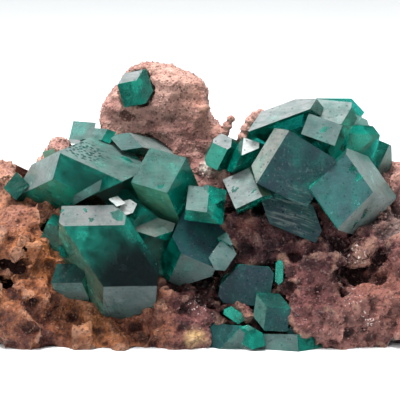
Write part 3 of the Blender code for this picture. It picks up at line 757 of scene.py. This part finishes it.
def grain_look(name):
    """Small sugary quartz grains in the rock's colours, painted light and shade and all, some of them
    nearly white.
    """
    look = Shading(name)
    point = look.place()
    tone = look.noise(point, 0.9, detail=3.0, roughness=0.7)
    bright = look.noise(point, 0.5).between(0.64, 0.72)
    colour = rock_colour(look, point)
    colour = look.mix(tone.between(0.56, 0.34) * 0.6, colour, GRAIN_SHADE)
    colour = look.mix(0.06 + bright * 0.5, colour, SUGAR)
    look.give("Surface", look.skin(colour, 0.12 + 0.25 * look.noise(point, 0.4), ior=QUARTZ_IOR))
    return look.material


def floor_look():
    """A smooth pale grey, hardly uneven."""
    look = Shading("pale_floor")
    shade = look.mix(look.noise(look.place(), 40.0), *FLOOR_TONES)
    look.give("Surface", look.skin(shade, 0.6))
    return look.material


# ---------------------------------------------------------------- modelling helpers


def alone(piece):
    """Makes this the only selected object, and the active one."""
    bpy.ops.object.select_all(action="DESELECT")
    piece.select_set(True)
    bpy.context.view_layer.objects.active = piece


def in_edit_mode(piece, work):
    """Does some work on the whole of a piece's mesh in edit mode."""
    alone(piece)
    bpy.ops.object.mode_set(mode="EDIT")
    bpy.ops.mesh.select_all(action="SELECT")
    work()
    bpy.ops.object.mode_set(mode="OBJECT")


def modify(piece, kind, **settings):
    """Adds a modifier and applies it."""
    alone(piece)
    modifier = piece.modifiers.new(kind, kind)
    for name, value in settings.items():
        setattr(modifier, name, value)
    bpy.ops.object.modifier_apply(modifier=modifier.name)


def duplicate(piece, name):
    """A copy of a piece, with a mesh of its own."""
    copy = piece.copy()
    copy.data = piece.data.copy()
    copy.name = name
    bpy.context.scene.collection.objects.link(copy)
    return copy


def copy_of_node(frame, node, name):
    """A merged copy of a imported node's mesh."""
    mesh = frame["nodes"][node].data.copy()
    mesh.materials.clear()
    piece = bpy.data.objects.new(name, mesh)
    bpy.context.scene.collection.objects.link(piece)
    in_edit_mode(piece, lambda: bpy.ops.mesh.remove_doubles(threshold=SAME_PLACE))
    return piece


def finish_piece(piece, material, node, stands=True):
    """Gives a piece its material and body, and hides the imported node that it stands for if it does."""
    piece.data.materials.clear()
    piece.data.materials.append(material)
    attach(piece, "root")
    if stands:
        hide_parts(node)


def texture(name, kind, size, **settings):
    """A noise for pushing a skin in and out, and its size in millimetres."""
    made = bpy.data.textures.new(name, kind)
    made.noise_scale = size * MM
    for setting, value in settings.items():
        setattr(made, setting, value)
    return made


def weigh(piece, name, share):
    """A vertex group whose weight at each point is share(x, y, z), in millimetres."""
    group = piece.vertex_groups.new(name=name)
    for vertex in piece.data.vertices:
        weight = share(*(vertex.co / MM))
        if weight > LEAST_WEIGHT:
            group.add((vertex.index,), min(weight, 1.0), "REPLACE")
    return group.name


def swell(piece, height, group=""):
    """Moves a skin out by a height in millimetres, or in by a negative one."""
    modify(piece, "DISPLACE", strength=height * MM, mid_level=0.0, vertex_group=group)


def roughen(piece, surface, height, level=0.5, group=""):
    """Moves a skin out where a texture is above a level, and in where it is below."""
    modify(
        piece,
        "DISPLACE",
        texture=surface,
        texture_coords="LOCAL",
        strength=height * MM,
        mid_level=level,
        vertex_group=group,
    )


# ---------------------------------------------------------------- where the rock differs


def rise(value, start, end):
    """0 at start and 1 at end, straight between them."""
    return min(max((value - start) / (end - start), 0.0), 1.0)


def porous(x, y, z):
    """The left half below the peak, which is full of holes."""
    return rise(x, 0, -8) * rise(z, 24, 20)


def knobbly(x, y, z):
    """The right half below the peak, which is full of knobs."""
    return rise(x, -6, 0) * rise(z, 25, 21)


def bedding(x, y, z):
    """How far the peak's beds stand out: rounded ledges that wander a little."""
    wander = 0.9 * math.sin(0.5 * x) + 0.5 * math.sin(1.3 * x + y)
    wave = math.sin(2 * math.pi * z / BED_THICKNESS + wander)
    return rise(z, 23, 26) * (0.5 + 0.5 * wave) * (0.6 + 0.4 * math.sin(0.45 * x + 0.8 * z))


def saddle_gap(x, y, z):
    """The notch in the saddle's skyline, between the two chains of knobs."""
    return rise(abs(x - SADDLE_GAP_X), 2.2, 0.9) * rise(z, 25.5, 27)


def peak(x, y, z):
    """The peak above its foot."""
    return rise(z, 24, 27) * rise(x, 5, 3)


def rugged(x, y, z):
    """How rough the rock is: fully below, and less on the peak."""
    return 1 - 0.4 * rise(z, 23, 27)


def druse_above(x, y, z):
    """The druse on the peak."""
    return rise(z, 21, 25) * rise(x, 6, 4)


def druse_left(x, y, z):
    """The druse on the left half below the peak, down to the cut."""
    return rise(z, 25, 22) * rise(x, 0, -3) * rise(z, 1.2, 2)


def druse_right(x, y, z):
    """The druse on the right half, saddle and all, down to the cut."""
    return max(rise(x, -3, 0) * rise(z, 25, 22), rise(x, 4, 6)) * rise(z, 1.2, 2)


# ---------------------------------------------------------------- rock


def rock_skin(frame):
    """The whole rock as one fine skin with crags, pits and lumps raised on it."""
    rock = copy_of_node(frame, "matrix", "rock")
    modify(rock, "REMESH", mode="VOXEL", voxel_size=ROCK_VOXEL)
    modify(rock, "SMOOTH", factor=0.6, iterations=6)
    swell(rock, SMOOTHING_LOSS)
    holed = weigh(rock, "porous", porous)
    knobbed = weigh(rock, "knobbly", knobbly)
    bedded = weigh(rock, "beds", bedding)
    swell(rock, -SADDLE_GAP_DEPTH, weigh(rock, "gap", saddle_gap))
    peaked = weigh(rock, "peak", peak)
    swell(rock, BED_HEIGHT, bedded)
    swell(rock, -PEAK_LOSS, peaked)
    roughened = weigh(rock, "rugged", rugged)
    for name, (place, reach, height) in DENTS.items():
        swell(rock, height, weigh(rock, name, dent_share(place, reach)))
    crags = texture("crags", "MUSGRAVE", 4.0, musgrave_type="RIDGED_MULTIFRACTAL")
    lumps = texture("lumps", "CLOUDS", 1.8, noise_depth=3)
    holes = texture("holes", "VORONOI", 3.2)
    knobs = texture("knobs", "VORONOI", 3.0)
    sugar = texture("sugar", "CLOUDS", 0.5, noise_depth=2)
    roughen(rock, crags, height=0.9, group=roughened)
    roughen(rock, lumps, height=1.2, group=roughened)
    roughen(rock, holes, height=1.1, level=0.60, group=holed)
    roughen(rock, knobs, height=-1.0, level=0.42, group=knobbed)
    roughen(rock, sugar, height=0.30)
    mark_hollows(rock)
    return rock


def dent_share(place, reach):
    """The share function of a round bowl or lump."""
    return lambda x, y, z: rise(math.dist((x, y, z), place), reach, 0.6 * reach)


def mark_hollows(rock):
    """Writes how far each point lies below its smoothed surroundings, in millimetres."""
    smooth = duplicate(rock, "smooth")
    modify(smooth, "SMOOTH", factor=0.9, iterations=60)
    depths = [
        (level.co - vertex.co).dot(level.normal) / MM
        for vertex, level in zip(rock.data.vertices, smooth.data.vertices)
    ]
    hollow = rock.data.attributes.new(HOLLOW, "FLOAT", "POINT")
    hollow.data.foreach_set("value", depths)
    bpy.data.objects.remove(smooth)


def close_cuts():
    """Draws every open rim together in its own middle."""
    bpy.ops.mesh.select_all(action="DESELECT")
    bpy.ops.mesh.select_non_manifold(
        use_wire=False, use_multi_face=False, use_non_contiguous=False, use_verts=False
    )
    bpy.ops.mesh.extrude_edges_move()
    bpy.ops.mesh.merge(type="COLLAPSE")
    bpy.ops.mesh.select_all(action="SELECT")
    bpy.ops.mesh.normals_make_consistent(inside=False)


def keep_side(rock, name, place, normal):
    """Splits off what lies on the normal's side of a plane, as a closed piece of its own."""
    part = duplicate(rock, name)

    def cut(keep_outer):
        bpy.ops.mesh.bisect(
            plane_co=place,
            plane_no=normal,
            clear_inner=keep_outer,
            clear_outer=not keep_outer,
            threshold=ON_PLANE,
        )
        close_cuts()

    in_edit_mode(part, lambda: cut(True))
    in_edit_mode(rock, lambda: cut(False))
    return part


def rock_pieces(rock):
    """The skin cut off flat below and split in four, front and back, left and right."""
    below = keep_side(rock, "below", (0, 0, BASE_Z), (0, 0, -1))
    bpy.data.objects.remove(below)
    back = keep_side(rock, "rock_back", (0, SPLIT_Y, 0), (0, 1, 0))
    right = keep_side(rock, "rock_front_right", (SPLIT_X, 0, 0), (1, 0, 0))
    back_right = keep_side(back, "rock_back_right", (SPLIT_X, 0, 0), (1, 0, 0))
    rock.name = "rock_front_left"
    back.name = "rock_back_left"
    return [rock, right, back, back_right]


def saddle_knobs():
    """Two little chains of round grains that stand on the saddle's skyline."""
    bpy.ops.object.select_all(action="DESELECT")
    knobs = []
    for x, y, z, radius in SADDLE_KNOBS:
        place = Vector((x, y, z)) * MM
        bpy.ops.mesh.primitive_ico_sphere_add(subdivisions=3, radius=radius * MM, location=place)
        knobs.append(bpy.context.active_object)
    for knob in knobs:
        knob.select_set(True)
    bpy.ops.object.join()
    chain = bpy.context.active_object
    chain.name = "saddle_knobs"
    bpy.ops.object.transform_apply()
    modify(chain, "REMESH", mode="VOXEL", voxel_size=KNOB_VOXEL)
    roughen(chain, texture("knob_skin", "CLOUDS", 0.5, noise_depth=2), height=0.35)
    return chain


# ---------------------------------------------------------------- grains


def quartz_point():
    """A six-sided grain with a blunt point, 1 mm wide, as the shape to scatter."""
    bpy.ops.object.select_all(action="DESELECT")
    bpy.ops.mesh.primitive_cylinder_add(vertices=6, radius=GRAIN_RADIUS, depth=GRAIN_HEIGHT)
    grain = bpy.context.active_object
    grain.name = "quartz_point"
    bpy.ops.object.mode_set(mode="EDIT")
    bpy.ops.mesh.select_all(action="DESELECT")
    bpy.ops.object.mode_set(mode="OBJECT")
    for face in grain.data.polygons:
        face.select = face.normal.z > 0.9
    bpy.ops.object.mode_set(mode="EDIT")
    bpy.ops.mesh.extrude_region_move(TRANSFORM_OT_translate={"value": (0, 0, GRAIN_TIP)})
    bpy.ops.mesh.merge(type="CENTER")
    bpy.ops.object.mode_set(mode="OBJECT")
    return grain


def scattering(grain, field):
    """Geometry nodes that stand grains on a surface where the field's vertex group has weight."""
    tree = bpy.data.node_groups.new("scatter_" + field.group, "GeometryNodeTree")
    tree.interface.new_socket("Geometry", in_out="INPUT", socket_type="NodeSocketGeometry")
    tree.interface.new_socket("Geometry", in_out="OUTPUT", socket_type="NodeSocketGeometry")
    look = Shading.of_tree(tree, "NodeGroupOutput")
    surface = look.add("NodeGroupInput", {}, {}, "Geometry")
    named = {"Name": field.group}
    weight = look.add("GeometryNodeInputNamedAttribute", {"data_type": "FLOAT"}, named, "Attribute")
    density = weight * (field.density / MM**2)
    spread = {"Mesh": surface, "Density": density, "Seed": GRAIN_SEED}
    points = look.add("GeometryNodeDistributePointsOnFaces", {}, spread, "Points")
    limits = {0: (-GRAIN_TILT, -GRAIN_TILT, 0.0), 1: (GRAIN_TILT, GRAIN_TILT, GRAIN_TURN)}
    tilt = look.add("FunctionNodeRandomValue", {"data_type": "FLOAT_VECTOR"}, limits)
    turn = {0: points.sibling("Rotation"), 1: tilt}
    turned = look.add("FunctionNodeRotateRotation", {"rotation_space": "LOCAL"}, turn)
    sizes = {2: field.smallest, 3: field.largest}
    size = look.add("FunctionNodeRandomValue", {"data_type": "FLOAT"}, sizes, 1)
    shape = look.add("GeometryNodeObjectInfo", {}, {"Object": grain}, "Geometry")
    standing = {"Points": points, "Instance": shape, "Rotation": turned, "Scale": size}
    grains = look.add("GeometryNodeInstanceOnPoints", {}, standing)
    look.give("Geometry", look.add("GeometryNodeRealizeInstances", {}, {"Geometry": grains}))
    return tree


def grain_fields(rock):
    """Druse grains over the rock, as one joined mesh to each field."""
    grain = quartz_point()
    weigh(rock, "upper", druse_above)
    weigh(rock, "left", druse_left)
    weigh(rock, "right", druse_right)
    fields = []
    for name, field in GRAIN_FIELDS.items():
        grains = duplicate(rock, name)
        modify(grains, "NODES", node_group=scattering(grain, field))
        fields.append(grains)
    bpy.data.objects.remove(grain)
    return fields


# ---------------------------------------------------------------- crystals


def crystal_piece(frame, node):
    """A packed crystal or cluster with its edges softened."""
    piece = copy_of_node(frame, node, node + "_clear")
    in_edit_mode(piece, lambda: bpy.ops.mesh.dissolve_limited(angle_limit=FLAT_ANGLE))
    modify(
        piece,
        "BEVEL",
        width=EDGE_WIDTH,
        segments=2,
        limit_method="ANGLE",
        angle_limit=EDGE_ANGLE,
        use_clamp_overlap=True,
        harden_normals=True,
    )
    modify(piece, "TRIANGULATE", keep_custom_normals=True)
    lay_covers(piece, FACETS.get(node, SMALL_FACETS))
    return piece


def direction(lean, heading):
    """Unit vector that leans from +Z towards a heading, both in degrees."""
    lean, heading = math.radians(lean), math.radians(heading)
    across = math.sin(lean)
    return Vector((across * math.cos(heading), across * math.sin(heading), math.cos(lean)))


def lies_on(face, facet):
    """Whether a mesh face is part of a facet: near it, in its plane and facing its way."""
    way = direction(facet.lean, facet.heading)
    apart = face.center / MM - Vector(facet.at)
    facing = face.normal.dot(way) > SAME_FACING
    return facing and abs(apart.dot(way)) < SAME_PLANE and apart.length < facet.reach


def lay_covers(piece, facets):
    """Writes each facet's finish and share on its faces, as an attribute that the material reads."""
    covers = piece.data.attributes.new(COVER, "FLOAT_COLOR", "FACE")
    for face in piece.data.polygons:
        covers.data[face.index].color = (*DUST_AND_SHEEN[:3], 0.0)
        for facet in facets.values():
            if lies_on(face, facet):
                covers.data[face.index].color = (*facet.finish[:3], facet.share)


# ---------------------------------------------------------------- stage


def add_floor():
    """A wide pale floor under the specimen, which isn't mirrored in it."""
    bpy.ops.object.select_all(action="DESELECT")
    bpy.ops.mesh.primitive_plane_add(size=FLOOR_SIZE)
    floor = bpy.context.active_object
    floor.name = "floor"
    floor.data.materials.append(floor_look())
    floor.visible_glossy = False


def add_lamp(name, lamp):
    """A square lamp aimed at the specimen. It isn't seen in mirrored or refracted rays."""
    data = bpy.data.lights.new(name, "AREA")
    data.energy = lamp.power
    data.size = lamp.size
    light = bpy.data.objects.new(name, data)
    light.location = lamp.at
    light.rotation_euler = (TARGET - Vector(lamp.at)).to_track_quat("-Z", "Y").to_euler()
    light.visible_glossy = False
    light.visible_transmission = False
    bpy.context.scene.collection.objects.link(light)


def world_light():
    """A pale room: white to the camera, bright behind and above, and dim in front for mirrored rays."""
    world = bpy.data.worlds.new("studio")
    world.use_nodes = True
    bpy.context.scene.world = world
    look = Shading.of_tree(world.node_tree, "ShaderNodeOutputWorld")
    way = look.add("ShaderNodeTexCoord", {}, {}, "Generated")
    up = look.axis(way, "Z")
    behind = look.axis(way, "Y").between(0.0, 0.6)
    below = up.between(-0.5, -0.9)
    lit = 0.05 + 0.9 * (1 - (1 - up.between(0.0, 0.75)) * (1 - behind) * (1 - 0.6 * below))
    mirrored = 0.12 + 0.85 * behind + 0.7 * up.between(0.93, 0.985)
    seen = look.add("ShaderNodeLightPath", {}, {}, "Is Camera Ray")
    glossy = seen.sibling("Is Glossy Ray")
    strength = lit * (1 - glossy) + mirrored * glossy
    room = look.add("ShaderNodeBackground", {}, {"Color": ROOM_TINT, "Strength": strength})
    backdrop = {"Color": BACKDROP_TINT, "Strength": BACKDROP_STRENGTH}
    look.give("Surface", look.blend(seen, room, look.add("ShaderNodeBackground", {}, backdrop)))


def light_scene():
    """The room's light and the lamps, shown without a film's contrast curve."""
    world_light()
    for name, lamp in LAMPS.items():
        add_lamp(name, lamp)
    bpy.context.scene.view_settings.view_transform = "Standard"


def add_camera():
    """A long lens in front of the specimen, a little above it."""
    lift = math.radians(CAMERA_ELEVATION)
    back = Vector((0, -math.cos(lift), math.sin(lift)))
    data = bpy.data.cameras.new("camera")
    data.sensor_width = CAMERA_SENSOR
    data.lens = CAMERA_LENS
    data.clip_start = CAMERA_NEAR
    camera = bpy.data.objects.new("camera", data)
    camera.location = TARGET + back * CAMERA_DISTANCE
    camera.rotation_euler = (-back).to_track_quat("-Z", "Y").to_euler()
    bpy.context.scene.collection.objects.link(camera)
    bpy.context.scene.camera = camera


def main():
    """Makes every piece, the stage, the lights and the camera."""
    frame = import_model()
    rock = rock_skin(frame)
    quartz = grain_look("druse_grains")
    for piece in grain_fields(rock):
        finish_piece(piece, quartz, "matrix", stands=False)
    stone = druse("druse")
    for piece in (*rock_pieces(rock), saddle_knobs()):
        finish_piece(piece, stone, "matrix")
    for node in CRYSTAL_NODES:
        piece = crystal_piece(frame, node)
        finish_piece(piece, dioptase(node + "_look"), node)
    add_floor()
    light_scene()
    add_camera()


main()
